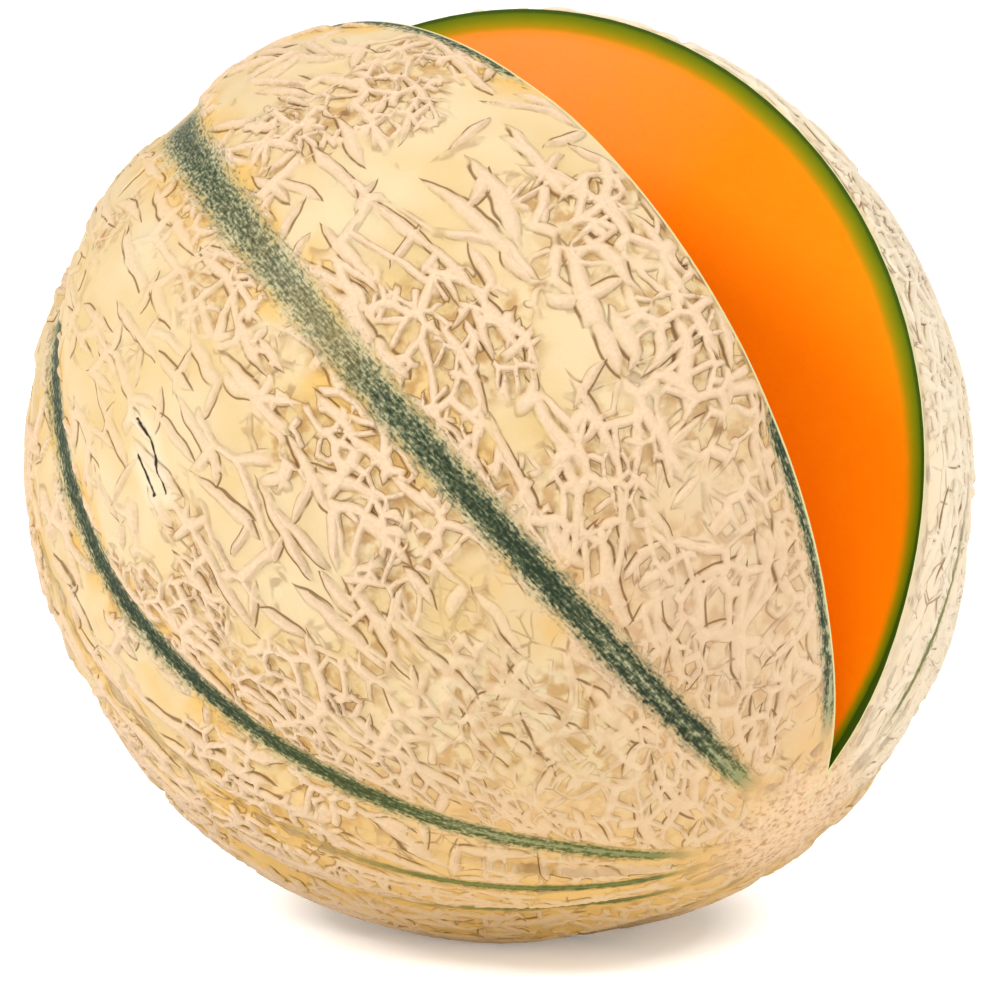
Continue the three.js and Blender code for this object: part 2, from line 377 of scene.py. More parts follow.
def new_object(name, mesh, material):
    obj = bpy.data.objects.new(name, mesh)
    bpy.context.scene.collection.objects.link(obj)
    mesh.materials.append(material)
    return obj


def blown_up(name, tree, cells, shape, material):
    """A closed body made from a ball, with the shape that a function gives its points."""
    obj = new_object(name, bpy.data.meshes.new(name), material)
    run_nodes(obj, tree, Cells=cells, Material=material)
    obj.data.materials.pop(index=0)  # the empty slot that a cube comes with
    unit = np.empty(len(obj.data.vertices) * 3)
    obj.data.vertices.foreach_get("co", unit)
    move_points(obj.data, shape(unit.reshape(-1, 3)))
    return obj


def ellipsoid_shape(unit):
    return unit * np.array([EQUATOR_RADIUS, EQUATOR_RADIUS, POLE_RADIUS])


def hollow_shape(unit):
    """The seed hollow: long, and with one shallow lobe for each seed bed."""
    longitude = np.arctan2(unit[:, 1], unit[:, 0]) - math.radians(WEDGE_MIDDLE)
    radius = HOLLOW_RADIUS - HOLLOW_LOBE_DEPTH * np.cos(HOLLOW_LOBES * longitude)
    return unit * np.stack([radius, radius, np.full(len(unit), HOLLOW_HALF_LENGTH)], axis=1)


def knife_corners():
    """Corners of the slice that was taken: at each end the knife's stop and two far corners."""
    corners = []
    for end, stop in ((-1, KNIFE_STOP_STEM), (1, KNIFE_STOP_BLOSSOM)):
        inner = direction(WEDGE_MIDDLE) * stop + np.array([0, 0, end * 1.2 * POLE_RADIUS])
        corners.append(inner)
        for side in (-0.5, 0.5):
            out = direction(WEDGE_MIDDLE + side * WEDGE_ANGLE)
            corners.append(inner + 2 * EQUATOR_RADIUS * out)
    return np.array(corners)


def slice_body(material):
    """The slice that was taken, as a body to cut with."""
    mesh = bpy.data.meshes.new("slice")
    faces = [[0, 2, 1], [3, 4, 5], [0, 1, 4, 3], [1, 2, 5, 4], [2, 0, 3, 5]]
    corners = knife_corners()
    mesh.from_pydata(corners.tolist(), [], faces)
    move_points(mesh, corners)
    return new_object("slice", mesh, material)


def knife_distance(points):
    """Distance from the nearer of the knife's two cuts."""
    corners = knife_corners()
    nearest = np.full(len(points), FAR_OFF)
    for far in (1, 2):
        out = corners[far] - corners[0]
        normal = np.cross(out, corners[3] - corners[0])
        normal /= np.linalg.norm(normal)
        offset = points - corners[0]
        distance = np.where(offset @ out > 0, np.abs(offset @ normal), FAR_OFF)
        nearest = np.minimum(nearest, distance)
    return nearest


# The net

# Layers of scars: size of the patch of skin that holds one (round the melon, along it), half
# length and half width of the scar, its angle from the meridian and how far that strays, and
# the share of patches that have one. Millimetres and degrees.
SCARS = [
    ((6.6, 18.0), 8.6, 1.15, 4, 9, 0.85),
    ((7.0, 13.0), 6.2, 1.00, -6, 15, 0.65),
    ((9.0, 8.0), 4.0, 0.90, 70, 22, 0.55),
]
# Layers of meshes: size of a mesh of the net, half width of the ridge round it, how much of the
# ridges is broken away, and whether they grow only where the net is knotted.
MESHES = [
    ((8.0, 14.0), 0.75, 0.47, False),
    ((5.0, 6.2), 0.75, 0.38, True),
    ((3.4, 4.2), 0.55, 0.40, True),
]
# Lengths of the scars, as shares, how blunt their ends are, how far a scar strays from the middle
# of its patch, and the depth of the split along its crest.
SCAR_SHORTEST, SCAR_LONGEST = 0.55, 1.2
SCAR_BLUNTNESS = 2.6
SCAR_DISORDER = 0.7
SCAR_SPLIT = 0.2
# How the net wanders: waves per millimetre, and by how many millimetres.
WANDERS = [(0.045, 5.0), (0.2, 1.2)]
# The net is knotted in places: waves per millimetre of the noise that says where, and the noise
# at which the knots start and are full. There are fewer to the stem end and more to the blossom
# end, so this much is added to the noise between two places north of the equator.
KNOT_WAVES = 0.045
KNOT_STARTS, KNOT_FULL = 0.44, 0.58
KNOT_STEM, KNOT_STEM_ADDED = -70.0, -0.18
KNOT_BLOSSOM, KNOT_BLOSSOM_ADDED = 60.0, 0.14
FIBRE_WAVES = (0.5, 0.09, 1.0)  # per millimetre, across the fibres and along them


def scar_group(kind):
    """A node group that raises one scar in each cell of a stretched cell pattern, with a crack
    along one of its sides."""
    tree = bpy.data.node_groups.new("Scars " + kind, kind)
    for name in ("Place", "Cell", "Seed"):
        tree.interface.new_socket(name, in_out="INPUT", socket_type="NodeSocketVector")
    for name in ("Half Length", "Half Width", "Angle", "Stray", "Share"):
        tree.interface.new_socket(name, in_out="INPUT", socket_type="NodeSocketFloat")
    for name in ("Height", "Crack"):
        tree.interface.new_socket(name, in_out="OUTPUT", socket_type="NodeSocketFloat")
    given = add(tree, "NodeGroupInput").outputs
    shrunk = add(tree, VECTOR, {0: given["Place"], 1: given["Cell"]}, operation="DIVIDE")
    moved = add(tree, VECTOR, {0: shrunk, 1: given["Seed"]}, operation="ADD")
    settings = {"Vector": moved, "Scale": 1.0, "Randomness": SCAR_DISORDER}
    cells = add(tree, "ShaderNodeTexVoronoi", settings, voronoi_dimensions="2D").outputs
    offset = add(tree, VECTOR, {0: moved, 1: cells["Position"]}, operation="SUBTRACT")
    offset = add(tree, VECTOR, {0: offset, 1: given["Cell"]}, operation="MULTIPLY")
    chance = add(tree, "ShaderNodeSeparateXYZ", {0: cells["Color"]}).outputs
    swing = add(tree, MATH, {0: chance[0], 1: 0.5}, operation="SUBTRACT")
    angle = {0: swing, 1: given["Stray"], 2: given["Angle"]}
    angle = add(tree, MATH, angle, operation="MULTIPLY_ADD")
    spin = {"Vector": offset, "Angle": angle}
    turned = add(tree, "ShaderNodeVectorRotate", spin, rotation_type="Z_AXIS")
    local = add(tree, "ShaderNodeSeparateXYZ", {0: turned}).outputs
    size = add(tree, RANGE, {0: chance[1], 3: SCAR_SHORTEST, 4: SCAR_LONGEST})
    length = add(tree, MATH, {0: given["Half Length"], 1: size}, operation="MULTIPLY")
    run = add(tree, MATH, {0: local[1]}, operation="ABSOLUTE")
    run = add(tree, MATH, {0: run, 1: length}, operation="DIVIDE")
    run = add(tree, MATH, {0: run, 1: SCAR_BLUNTNESS}, operation="POWER")
    across = add(tree, MATH, {0: local[0]}, operation="ABSOLUTE")
    across = add(tree, MATH, {0: across, 1: given["Half Width"]}, operation="DIVIDE")
    left = add(tree, MATH, {0: 1.0, 1: run}, operation="SUBTRACT")
    left = add(tree, MATH, {0: left, 1: across}, operation="SUBTRACT")
    rise = {0: left, 1: -0.1, 2: 0.9}
    height = add(tree, RANGE, rise, interpolation_type="SMOOTHSTEP")
    split = {0: left, 1: 0.8, 2: 1.0, 3: 0.0, 4: SCAR_SPLIT}
    split = add(tree, RANGE, split, interpolation_type="SMOOTHSTEP")
    height = add(tree, MATH, {0: height, 1: split}, operation="SUBTRACT")
    grown = add(tree, MATH, {0: chance[2], 1: given["Share"]}, operation="LESS_THAN")
    height = add(tree, MATH, {0: height, 1: grown}, operation="MULTIPLY")
    beside = add(tree, MATH, {0: left}, operation="ABSOLUTE")
    crack = {0: beside, 1: 0.05, 2: 0.24, 3: 1.0, 4: 0.0}
    crack = add(tree, RANGE, crack, interpolation_type="SMOOTHSTEP")
    facing = add(tree, MATH, {0: local[0], 1: swing}, operation="MULTIPLY")
    facing = add(tree, MATH, {0: facing, 1: 0.0}, operation="GREATER_THAN")
    crack = add(tree, MATH, {0: crack, 1: facing}, operation="MULTIPLY")
    crack = add(tree, MATH, {0: crack, 1: grown}, operation="MULTIPLY")
    add(tree, "NodeGroupOutput", {0: height, 1: crack})
    return tree


def net_nodes(tree, place):
    """The net at a place in millimetres, its cracks and how knotted it is, as shares from 0 to 1."""
    layer = scar_group(tree.bl_idname)
    group_kind = "GeometryNodeGroup" if tree.type == "GEOMETRY" else "ShaderNodeGroup"
    bent = place
    for waves, reach in WANDERS:
        wander = {"Vector": place, "Scale": waves, "Detail": 1.0}
        wander = add(tree, NOISE, wander, noise_dimensions="2D").outputs["Color"]
        wander = add(tree, VECTOR, {0: wander, 1: (0.5, 0.5, 0.5)}, operation="SUBTRACT")
        shift = {0: wander, 1: (reach, reach, 0.0), 2: bent}
        bent = add(tree, VECTOR, shift, operation="MULTIPLY_ADD")
    crumple = {"Vector": place, "Scale": KNOT_WAVES, "Detail": 2.0}
    crumple = add(tree, NOISE, crumple, noise_dimensions="2D")
    north = add(tree, "ShaderNodeSeparateXYZ", {0: place}).outputs[1]
    lean = {0: north, 1: KNOT_STEM, 2: KNOT_BLOSSOM, 3: KNOT_STEM_ADDED, 4: KNOT_BLOSSOM_ADDED}
    lean = add(tree, RANGE, lean)
    knotted = add(tree, MATH, {0: crumple, 1: lean}, operation="ADD")
    knotted = {0: knotted, 1: KNOT_STARTS, 2: KNOT_FULL}
    knotted = add(tree, RANGE, knotted, interpolation_type="SMOOTHSTEP")
    fine = {0: north, 1: FINE_FROM, 2: FINE_TO}
    fine = add(tree, RANGE, fine, interpolation_type="SMOOTHSTEP")
    layers = []
    cracks = 0.0
    for number, (cell, half_length, half_width, angle, stray, share) in enumerate(SCARS):
        values = {
            "Place": bent,
            "Cell": (*cell, 1.0),
            "Seed": (17.3 * number + 3.1, 9.7 * number + 1.7, 0.0),
            "Half Length": half_length,
            "Half Width": half_width,
            "Angle": math.radians(angle),
            "Stray": math.radians(2 * stray),
            "Share": share,
        }
        scars = add(tree, group_kind, values, node_tree=layer).outputs
        layers.append(scars["Height"])
        cracks = add(tree, MATH, {0: scars["Crack"], 1: cracks}, operation="MAXIMUM")
    for cell, half_width, broken, only_knots in MESHES:
        shrunk = add(tree, VECTOR, {0: bent, 1: (*cell, 1.0)}, operation="DIVIDE")
        settings = {"Vector": shrunk, "Scale": 1.0}
        edge = add(
            tree, "ShaderNodeTexVoronoi", settings, voronoi_dimensions="2D", feature="DISTANCE_TO_EDGE"
        )
        width = half_width / min(cell)
        height = {0: edge, 1: 0.3 * width, 2: width, 3: 1.0, 4: 0.0}
        height = add(tree, RANGE, height, interpolation_type="SMOOTHSTEP")
        patchy = {"Vector": shrunk, "Scale": 0.9, "Detail": 1.0}
        patchy = add(tree, NOISE, patchy, noise_dimensions="2D")
        whole = {0: patchy, 1: broken, 2: broken + 0.15}
        whole = add(tree, RANGE, whole, interpolation_type="SMOOTHSTEP")
        height = add(tree, MATH, {0: height, 1: whole}, operation="MULTIPLY")
        if only_knots:
            height = add(tree, MATH, {0: height, 1: knotted}, operation="MULTIPLY")
            line = {0: edge, 1: 0.1 * width, 2: 0.35 * width, 3: 0.75, 4: 0.0}
            line = add(tree, RANGE, line, interpolation_type="SMOOTHSTEP")
            line = add(tree, MATH, {0: line, 1: whole}, operation="MULTIPLY")
            line = add(tree, MATH, {0: line, 1: fine}, operation="MULTIPLY")
            cracks = add(tree, MATH, {0: line, 1: cracks}, operation="MAXIMUM")
        layers.append(height)
    net = layers[0]
    for other in layers[1:]:
        net = add(tree, MATH, {0: net, 1: other}, operation="MAXIMUM")
    return net, cracks, knotted


def relief_tree():
    """Geometry nodes that raise the net on the rind and the fibres in the seed hollow.

    The faces of the cut keep their flesh."""
    tree = bpy.data.node_groups.new("Net and fibres", "GeometryNodeTree")
    tree.interface.new_socket("Geometry", in_out="INPUT", socket_type="NodeSocketGeometry")
    tree.interface.new_socket("Net Height", in_out="INPUT", socket_type="NodeSocketFloat")
    tree.interface.new_socket("Fibre Height", in_out="INPUT", socket_type="NodeSocketFloat")
    tree.interface.new_socket("Middle", in_out="INPUT", socket_type="NodeSocketVector")
    tree.interface.new_socket("Rind", in_out="INPUT", socket_type="NodeSocketMaterial")
    tree.interface.new_socket("Geometry", in_out="OUTPUT", socket_type="NodeSocketGeometry")
    given = add(tree, "NodeGroupInput").outputs
    named = "GeometryNodeInputNamedAttribute"
    place = add(tree, named, {"Name": "place"}, data_type="FLOAT_VECTOR")
    net_share = add(tree, named, {"Name": "net_share"}, data_type="FLOAT")
    fibre_share = add(tree, named, {"Name": "fibre_share"}, data_type="FLOAT")
    relief = add(tree, named, {"Name": "relief"}, data_type="FLOAT")
    net, _, _ = net_nodes(tree, place)
    net = add(tree, MATH, {0: net, 1: relief}, operation="MULTIPLY")
    net = add(tree, MATH, {0: net, 1: net_share}, operation="MULTIPLY")
    stretched = add(tree, VECTOR, {0: place, 1: FIBRE_WAVES}, operation="MULTIPLY")
    fibre = {"Vector": stretched, "Scale": 1.0, "Detail": 3.0}
    fibre = add(tree, NOISE, fibre, noise_dimensions="2D")
    fibre = add(tree, MATH, {0: fibre, 1: fibre_share}, operation="MULTIPLY")
    net = add(tree, MATH, {0: net, 1: given["Net Height"]}, operation="MULTIPLY")
    height = {0: fibre, 1: given["Fibre Height"], 2: net}
    height = add(tree, MATH, height, operation="MULTIPLY_ADD")
    position = add(tree, "GeometryNodeInputPosition")
    outward = add(tree, VECTOR, {0: position, 1: given["Middle"]}, operation="SUBTRACT")
    outward = add(tree, VECTOR, {0: outward}, operation="NORMALIZE")
    lift = add(tree, VECTOR, {0: outward, "Scale": height}, operation="SCALE")
    raised = add(tree, "GeometryNodeSetPosition", {"Geometry": given["Geometry"], "Offset": lift})
    above = add(tree, VECTOR, {0: position, 1: (-1.0, -1.0, 0.0)}, operation="MAXIMUM")
    pressed = add(tree, "GeometryNodeSetPosition", {"Geometry": raised, "Position": above})
    real = add(tree, "GeometryNodeRealizeInstances", {0: pressed})
    skin = add(tree, "GeometryNodeMaterialSelection", {"Material": given["Rind"]})
    coat = {"Geometry": real, "Selection": skin, "Material": given["Rind"]}
    coated = add(tree, "GeometryNodeSetMaterial", coat)
    add(tree, "NodeGroupOutput", {0: coated})
    return tree


# Materials


def skin_coats(tree, field, lump, knotted):
    """Shares and colours on the bare skin: golden beside the sutures, brown pits in the knots,
    pinkish where the net is fine, and deeper yellow near the ground."""
    beside = add(tree, MATH, {0: field["suture"], 1: field["stripe"]}, operation="SUBTRACT")
    golden = add(tree, RANGE, {0: beside, 1: 0.5, 2: 7.0, 3: 0.7, 4: 0.0})
    spread = {0: lump["gold"], 1: 0.4, 2: 0.6}
    spread = add(tree, RANGE, spread, interpolation_type="SMOOTHSTEP")
    golden = add(tree, MATH, {0: golden, 1: spread}, operation="MULTIPLY")
    pits = {0: lump["pit"], 1: 0.4, 2: 0.65, 4: 0.8}
    pits = add(tree, RANGE, pits, interpolation_type="SMOOTHSTEP")
    pits = add(tree, MATH, {0: knotted, 1: pits}, operation="MULTIPLY")
    return [
        (golden, linear("#b58a35")),
        (pits, linear("#94703f")),
        (field["blush"], linear("#b0947a")),
        (field["ground"], linear("#bc964e")),
    ]


def net_coats(tree, field, lump, net, cracks, knotted):
    """Shares and colours of the net: pinkish cork, paler on one lobe, painted brown shade
    along its foot where it meets the skin, and brown in its cracks."""
    grown = add(tree, RANGE, {0: net, 1: 0.05, 2: 0.8}, interpolation_type="SMOOTHSTEP")
    grown = add(tree, MATH, {0: grown, 1: field["relief"]}, operation="MULTIPLY")
    cork = [(0.3, "#b2987c"), (0.5, "#b69d81"), (0.7, "#baa286")]
    cork = add(tree, "ShaderNodeValToRGB", {0: lump["grain"]}, cork)
    pale = add(tree, MATH, {0: field["pale"], 1: 0.45}, operation="MULTIPLY")
    # Painted shade: brown along the foot of the net, where the ridges meet the skin, in place of the
    # shade in these creases.
    foot = add(tree, RANGE, {0: net, 1: 0.12, 2: 0.4, 3: 1.0, 4: 0.0})
    deep = add(tree, RANGE, {0: knotted, 3: 0.35, 4: 0.7})
    begun = add(tree, RANGE, {0: net, 2: 0.06}, interpolation_type="SMOOTHSTEP")
    broken = add(tree, RANGE, {0: lump["foot"], 1: 0.4, 2: 0.6}, interpolation_type="SMOOTHSTEP")
    for factor in (deep, field["relief"], begun, broken):
        foot = add(tree, MATH, {0: foot, 1: factor}, operation="MULTIPLY")
    raised = add(tree, MATH, {0: net, 1: field["relief"]}, operation="MULTIPLY")
    crack = add(tree, RANGE, {0: raised, 1: 0.2, 2: 0.5, 3: 0.9, 4: 0.0})
    gaping = add(tree, RANGE, {0: lump["crack"], 1: 0.34, 2: 0.52}, interpolation_type="SMOOTHSTEP")
    for factor in (cracks, field["net_share"], gaping):
        crack = add(tree, MATH, {0: crack, 1: factor}, operation="MULTIPLY")
    return [
        (grown, cork),
        (pale, linear("#c6c2b2")),
        (foot, linear("#5a3a1c")),
        (crack, linear("#67492a")),
    ]


def slit_coats(tree, lump, place):
    """Shares and colours of the slits: bleached round them, dark and torn within."""
    starts = [longitude for longitude, *_ in SUTURES]
    lobe_start = Vector((LOBE_STRETCH * (starts.index(SLIT_SUTURE) + 1), 0, 0))
    slit = FAR_OFF
    for first, last in SLITS:
        start = lobe_start + Vector((*first, 0))
        along = lobe_start + Vector((*last, 0)) - start
        offset = add(tree, VECTOR, {0: place, 1: start}, operation="SUBTRACT")
        reach = add(tree, VECTOR, {0: offset, 1: along}, operation="DOT_PRODUCT").outputs["Value"]
        reach = add(tree, RANGE, {0: reach, 2: along.length_squared})
        nearest = add(tree, VECTOR, {0: along, "Scale": reach}, operation="SCALE")
        gap = add(tree, VECTOR, {0: offset, 1: nearest}, operation="DISTANCE").outputs["Value"]
        slit = add(tree, MATH, {0: gap, 1: slit}, operation="MINIMUM")
    bleached = add(tree, RANGE, {0: slit, 1: 0.8, 2: 2.6, 3: 0.25, 4: 0.0})
    torn = add(tree, MATH, {0: lump["tear"], 1: 0.5, 2: slit}, operation="MULTIPLY_ADD")
    torn = add(tree, RANGE, {0: torn, 1: 0.35, 2: 0.55, 3: 1.0, 4: 0.0})
    return [(bleached, linear("#c6c0ae")), (torn, linear("#1c140a"))]


def stripe_coats(tree, field, lump, north):
    """Share and colour of the sutures' green: mottled, darkest in the middle, olive where a stripe
    is thin, and worn along the middle near the blossom end."""
    east = add(tree, MATH, {0: field["across"], 1: STREAK_WIDTH}, operation="DIVIDE")
    along = add(tree, MATH, {0: north, 1: STREAK_LENGTH}, operation="DIVIDE")
    streak = add(tree, "ShaderNodeCombineXYZ", {0: east, 1: along})
    streak = {"Vector": streak, "Scale": 1.0, "Detail": 2.0}
    streak = add(tree, NOISE, streak, noise_dimensions="2D")
    mottle = add(tree, MATH, {0: streak, 1: lump["grain"]}, operation="ADD")
    mottle = add(tree, MATH, {0: mottle, 1: 1.0}, operation="SUBTRACT")
    near = add(tree, MATH, {0: field["across"]}, operation="ABSOLUTE")
    far = add(tree, RANGE, {0: field["suture"], 1: 2.0, 2: 3.0}, interpolation_type="SMOOTHSTEP")
    away = add(tree, "ShaderNodeMix", {0: far, 2: near, 3: field["suture"]})
    inside = add(tree, MATH, {0: away, 1: field["stripe"]}, operation="DIVIDE")
    ragged = add(tree, MATH, {0: lump["ragged"], 1: 0.5}, operation="SUBTRACT")
    inside = add(tree, MATH, {0: ragged, 1: 0.45, 2: inside}, operation="MULTIPLY_ADD")
    edge = add(tree, MATH, {0: mottle, 1: 0.8, 2: inside}, operation="MULTIPLY_ADD")
    band = add(tree, RANGE, {0: edge, 1: 0.55, 2: 1.3, 3: 1.0, 4: 0.0})
    grown = add(tree, RANGE, {0: field["green"], 2: 0.5}, interpolation_type="SMOOTHSTEP")
    band = add(tree, MATH, {0: band, 1: grown}, operation="MULTIPLY")
    dark = add(tree, RANGE, {0: inside, 1: 0.2, 2: 1.0, 3: 1.0, 4: 0.05})
    worn = add(tree, RANGE, {0: inside, 1: 0.05, 2: 0.5, 3: -0.9, 4: 0.0})
    at_end = add(tree, RANGE, {0: north, 1: 42.0, 2: 66.0}, interpolation_type="SMOOTHSTEP")
    worn = add(tree, MATH, {0: worn, 1: at_end}, operation="MULTIPLY")
    dark = add(tree, MATH, {0: dark, 1: field["green"], 2: worn}, operation="MULTIPLY_ADD")
    dark = add(tree, MATH, {0: mottle, 1: -1.5, 2: dark}, operation="MULTIPLY_ADD")
    greens = [
        (0.0, "#8a8768"),
        (0.2, "#6c6c51"),
        (0.42, "#4d5139"),
        (0.66, "#323a26"),
        (0.95, "#1b2617"),
    ]
    leaf = add(tree, "ShaderNodeValToRGB", {0: dark}, greens)
    thin = add(tree, RANGE, {0: field["stripe"], 1: 0.8, 2: 2.3, 3: 0.8, 4: 0.0})
    olive = {"Factor": thin, 6: leaf, 7: linear("#565a12")}
    leaf = add(tree, "ShaderNodeMix", olive, data_type="RGBA").outputs[2]
    return [(band, leaf)]


def end_coats(tree, field, lump):
    """Shares and colours of the crumbly blossom patch, the stem's barky scar and a painted highlight
    along the cut's rim.
    """
    patch = add(tree, MATH, {0: field["blossom_patch"], 1: 0.85}, operation="MULTIPLY")
    crumbs = [(0.34, "#96754f"), (0.44, "#b89a78"), (0.6, "#c4a686")]
    crumbs = add(tree, "ShaderNodeValToRGB", {0: lump["crumb"]}, crumbs)
    scar = {0: field["from_stem"], 1: STEM_SCAR_RADIUS - 0.5, 2: STEM_SCAR_RADIUS + 1, 3: 1.0, 4: 0.0}
    scar = add(tree, RANGE, scar)
    bark = [(0.3, "#6e5637"), (0.5, "#a78a62"), (0.7, "#c9b08a")]
    bark = add(tree, "ShaderNodeValToRGB", {0: lump["bark"]}, bark)
    # Painted highlight: a thin pale cream line on the rind along the knife's cuts, in place of a lit
    # bevel at the cut edge.
    rim = add(tree, RANGE, {0: field["rim"], 1: 0.2, 2: 0.45, 3: 1.0, 4: 0.0})
    return [(patch, crumbs), (scar, bark), (rim, linear("#b0a878"))]


def rind_material():
    """Cantaloupe rind: a waxy pale yellow skin under a dull pinkish cork net, dark green sutures."""
    material = bpy.data.materials.new("Netted cantaloupe rind")
    material.use_nodes = True
    tree = material.node_tree
    shader = tree.nodes["Principled BSDF"]
    spot = add(tree, "ShaderNodeTexCoord").outputs["Object"]
    place = add(tree, "ShaderNodeAttribute", attribute_name="place").outputs["Vector"]
    north = add(tree, "ShaderNodeSeparateXYZ", {0: place}).outputs[1]
    field = {}
    for name in FIELDS:
        field[name] = add(tree, "ShaderNodeAttribute", attribute_name=name).outputs["Fac"]
    lump = {}
    for name, (size, detail) in LUMPS.items():
        lump[name] = add(tree, NOISE, {"Vector": spot, "Scale": 1 / (size * MM), "Detail": detail})
    net, cracks, knotted = net_nodes(tree, place)
    net = add(tree, MATH, {0: net, 1: field["net_share"]}, operation="MULTIPLY")
    coats = skin_coats(tree, field, lump, knotted)
    coats += net_coats(tree, field, lump, net, cracks, knotted)
    coats += slit_coats(tree, lump, place)
    coats += stripe_coats(tree, field, lump, north)
    coats += end_coats(tree, field, lump)
    skin = [(0.3, "#b4a382"), (0.5, "#b29d78"), (0.7, "#ae9566")]
    colour = add(tree, "ShaderNodeValToRGB", {0: lump["ripeness"]}, skin)
    for share, coat in coats:
        layer = {"Factor": share, 6: colour, 7: coat}
        colour = add(tree, "ShaderNodeMix", layer, data_type="RGBA").outputs[2]
    tree.links.new(colour, shader.inputs["Base Color"])
    shader.inputs["Roughness"].default_value = 0.62
    shader.inputs["Specular IOR Level"].default_value = 0.12
    rough = add(tree, MATH, {0: net, 1: field["relief"]}, operation="MULTIPLY")
    rough = add(tree, MATH, {0: lump["grain"], 1: 0.25, 2: rough}, operation="MULTIPLY_ADD")
    rough = {0: lump["crumb"], 1: field["blossom_patch"], 2: rough}
    rough = add(tree, MATH, rough, operation="MULTIPLY_ADD")
    bump = add(tree, "ShaderNodeBump", {"Height": rough, "Distance": 0.4 * MM, "Strength": 0.7})
    tree.links.new(bump.outputs[0], shader.inputs["Normal"])
    return material


def flesh_material():
    """Cantaloupe flesh: moist deep orange with a painted sheen that makes it paler and salmon to the
    stem end, olive and dark green to the rind.
    """
    material = bpy.data.materials.new("Ripe cantaloupe flesh")
    material.use_nodes = True
    tree = material.node_tree
    shader = tree.nodes["Principled BSDF"]
    spot = add(tree, "ShaderNodeTexCoord").outputs["Object"]
    own = {
        "Vector": spot,
        "Location": middle * MM,
        "Rotation": turn.to_euler(),
        "Scale": Vector((EQUATOR_RADIUS, EQUATOR_RADIUS, POLE_RADIUS)) * MM,
    }
    own = add(tree, "ShaderNodeMapping", own, vector_type="TEXTURE")
    out = add(tree, VECTOR, {0: own}, operation="LENGTH").outputs["Value"]
    height = add(tree, "ShaderNodeSeparateXYZ", {0: own}).outputs[2]
    wobble = add(tree, NOISE, {"Vector": spot, "Scale": 1 / (7 * MM), "Detail": 2.0})
    wobble = add(tree, RANGE, {0: wobble, 3: -0.003, 4: 0.003})
    out = add(tree, MATH, {0: out, 1: wobble}, operation="ADD")
    depth = add(tree, RANGE, {0: out, 1: 0.985, 2: 0.868})
    thick = add(tree, RANGE, {0: height, 1: 0.4, 2: 0.95, 3: 1.0, 4: 0.4})
    depth = add(tree, MATH, {0: depth, 1: thick}, operation="DIVIDE")
    bands = [
        (0.0, "#2e4408"),
        (0.05, "#526003"),
        (0.16, "#6a6e02"),
        (0.27, "#8e7402"),
        (0.38, "#be7602"),
        (0.5, "#da7400"),
        (1.0, "#e07400"),
    ]
    colour = add(tree, "ShaderNodeValToRGB", {0: depth}, bands)
    ripe = add(tree, RANGE, {0: depth, 1: 0.3, 2: 0.5})
    # Painted sheen: the flesh turns paler and salmon towards the stem end.
    pale = add(tree, RANGE, {0: height, 1: -0.55, 2: -0.1, 3: 0.6, 4: 0.0})
    mottle = add(tree, NOISE, {"Vector": spot, "Scale": 1 / (4 * MM), "Detail": 4.0})
    mottle = add(tree, RANGE, {0: mottle, 1: 0.3, 2: 0.7, 3: 0.0, 4: 0.25})
    for share, coat in ((pale, "#da8046"), (mottle, "#e47e02")):
        share = add(tree, MATH, {0: share, 1: ripe}, operation="MULTIPLY")
        layer = {"Factor": share, 6: colour, 7: linear(coat)}
        colour = add(tree, "ShaderNodeMix", layer, data_type="RGBA").outputs[2]
    tree.links.new(colour, shader.inputs["Base Color"])
    shader.inputs["Roughness"].default_value = 0.55
    shader.inputs["Specular IOR Level"].default_value = 0.03
    shader.inputs["Subsurface Weight"].default_value = 0.2
    shader.inputs["Subsurface Radius"].default_value = (1.0, 0.4, 0.1)
    shader.inputs["Subsurface Scale"].default_value = 2.5 * MM
    pulp = add(tree, NOISE, {"Vector": spot, "Scale": 1 / (1.2 * MM), "Detail": 3.0})
    bump = add(tree, "ShaderNodeBump", {"Height": pulp, "Distance": 0.15 * MM, "Strength": 0.4})
    tree.links.new(bump.outputs[0], shader.inputs["Normal"])
    return material


# The melon


def on_rind(mesh):
    """True for each point that a face of the rind uses."""
    slots = np.empty(len(mesh.polygons), dtype=np.int32)
    mesh.polygons.foreach_get("material_index", slots)
    totals = np.empty(len(mesh.polygons), dtype=np.int32)
    mesh.polygons.foreach_get("loop_total", totals)
    corners = np.empty(len(mesh.loops), dtype=np.int32)
    mesh.loops.foreach_get("vertex_index", corners)
    outside = np.zeros(len(mesh.vertices), dtype=bool)
    outside[corners[np.repeat(slots == 0, totals)]] = True
    return outside


def write_fields(mesh, fields, names):
    """Stores fields as point attributes, which the nodes read by name."""
    for name in names:
        values = fields[name].astype(np.float32)
        kind, key = ("FLOAT_VECTOR", "vector") if values.ndim > 1 else ("FLOAT", "value")
        old = mesh.attributes.get(name)
        if old:
            mesh.attributes.remove(old)
        mesh.attributes.new(name, kind, "POINT").data.foreach_set(key, values.ravel())


def cut_away(melon, cutter):
    """Cuts one body out of another and keeps the cutter's material on the new faces."""
    modifier = melon.modifiers.new("Cut", "BOOLEAN")
    modifier.operation = "DIFFERENCE"
    modifier.solver = "MANIFOLD"
    modifier.object = cutter
    modifier.material_mode = "TRANSFER"
    apply_modifiers(melon)
    bpy.data.objects.remove(cutter)


def simplify(melon):
    """Merges small faces where the skin is smooth, down to the wanted number of triangles."""
    corners = sum(p.loop_total - 2 for p in melon.data.polygons)
    modifier = melon.modifiers.new("Fewer faces", "DECIMATE")
    modifier.ratio = min(1.0, TRIANGLES / corners)
    modifier.use_collapse_triangulate = True
    apply_modifiers(melon)


def mark_sharp_rims(mesh):
    """Smooth faces, with sharp edges where the rind meets the flesh and along the hollow's rim."""
    mesh.shade_smooth()
    mesh.set_sharp_from_angle(angle=math.radians(SHARP_ANGLE))


